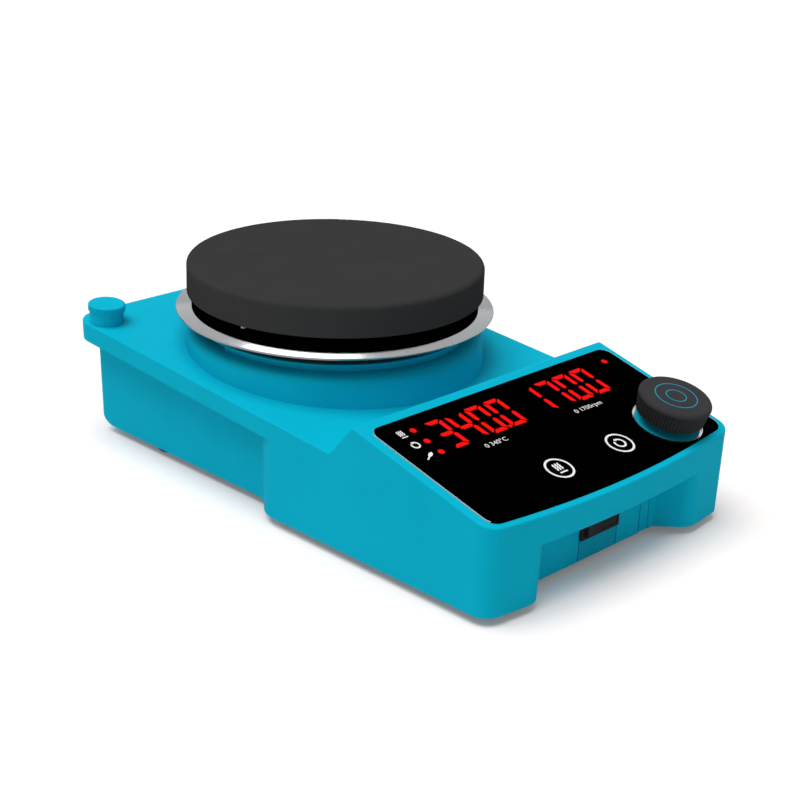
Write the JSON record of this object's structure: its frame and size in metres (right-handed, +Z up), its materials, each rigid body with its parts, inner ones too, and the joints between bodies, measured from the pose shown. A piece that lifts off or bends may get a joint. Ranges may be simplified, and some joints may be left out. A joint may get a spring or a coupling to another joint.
{
  "type": "hotplate magnetic stirrer",
  "caption": "Laboratory hotplate stirrer: round plate on a vented collar over a sloping deck, raised control panel with displays, touch keys and knob, switch under the fascia.",
  "frame": {"origin": "on the bench, below the middle of the body's overall length and width", "axes": "+X to the operator's right, +Y away from the operator, +Z up"},
  "size_m": [0.1564, 0.2672, 0.0938],
  "materials": {
    "teal_paint": "satin",
    "plate_coating": "matt",
    "black_coating": "matt",
    "polished_steel": "polished",
    "steel": "machined",
    "aluminium": "machined",
    "black_glass": "gloss",
    "dark_plastic": "satin",
    "black_plastic": "satin",
    "teal_plastic": "satin",
    "cap_plastic": "satin",
    "red_lens": "clear",
    "board_green": "satin",
    "ceramic": "glazed",
    "brass": "machined",
    "rubber": "matt",
    "magnet": "plated",
    "insulation": "pressed",
    "winding": "enamelled"
  },
  "bodies": {
    "body": {"upper_housing": "teal_paint", "base_plate": "steel", "rubber_feet": "rubber", "base_screws": "steel", "hot_plate": "plate_coating", "heating_element": "ceramic", "insulation_disc": "insulation", "heater_clamp": "steel", "plate_sensor": "brass", "plate_pillars": "ceramic", "plate_screws": "steel", "heat_shield": "black_coating", "safety_sensor": "ceramic", "drip_ring": "polished_steel", "spacer_ring": "black_plastic", "panel_glass": "black_glass", "bezel_ring": "polished_steel", "control_board": "board_green", "temperature_display": "black_plastic", "speed_display": "black_plastic", "indicator_leds": "red_lens", "touch_sensors": "rubber", "encoder_body": "steel", "encoder_nut": "steel", "motor_bracket": "steel", "bracket_screws": "steel", "motor_can": "steel", "motor_stator": "winding", "shaft_bearings": "steel", "power_board": "board_green", "transformer": "steel", "capacitors": "black_plastic", "heater_switch": "aluminium", "board_screws": "steel", "switch_panel": "teal_plastic", "switch_frame": "black_plastic", "mains_inlet": "black_plastic", "inlet_pins": "brass", "probe_socket": "steel", "probe_contacts": "brass", "probe_nut": "steel", "rod_socket": "steel"},
    "stirrer": {"motor_shaft": "steel", "motor_rotor": "steel", "magnet_holder": "aluminium", "magnets": "magnet"},
    "encoder_ring": {"encoder_rotor": "brass"},
    "knob": {"knob": "dark_plastic", "encoder_shaft": "steel"},
    "rocker": {"switch_rocker": "black_plastic"},
    "seal": {"cap_seal": "rubber"},
    "cap": {"rod_cap": "cap_plastic"}
  },
  "joints": [
    {"name": "stirrer_spin", "type": "hinge", "parent": "body", "child": "stirrer", "pos_m": [0, 0.03884, 0.05], "axis": [0, 0, 1], "continuous": true},
    {"name": "knob_turn", "type": "hinge", "parent": "body", "child": "encoder_ring", "pos_m": [0.0523, -0.11255, 0.04628], "axis": [0, -0.2462, 0.9692], "continuous": true},
    {"name": "knob_push", "type": "slide", "parent": "encoder_ring", "child": "knob", "axis": [0, 0.2462, -0.9692], "range_m": [0, 0.0005], "stiffness_N_per_m": 4000, "springref_m": -0.0005},
    {"name": "switch_rock", "type": "hinge", "parent": "body", "child": "rocker", "pos_m": [0.00095, -0.11666, 0.0206], "axis": [0, 0, 1], "range_deg": [-10, 0]},
    {"name": "cap_lift", "type": "slide", "parent": "body", "child": "seal", "axis": [0, -0.0724, 0.9974], "range_m": [0, 0.00675]},
    {"name": "cap_turn", "type": "hinge", "parent": "seal", "child": "cap", "pos_m": [-0.0689, 0.12024, 0.05741], "axis": [0, -0.0724, 0.9974], "range_deg": [0, 1625]}
  ],
  "couplings": [
    {"joint": "cap_turn", "follows": "cap_lift", "rad_per_m": 4188.8}
  ]
}
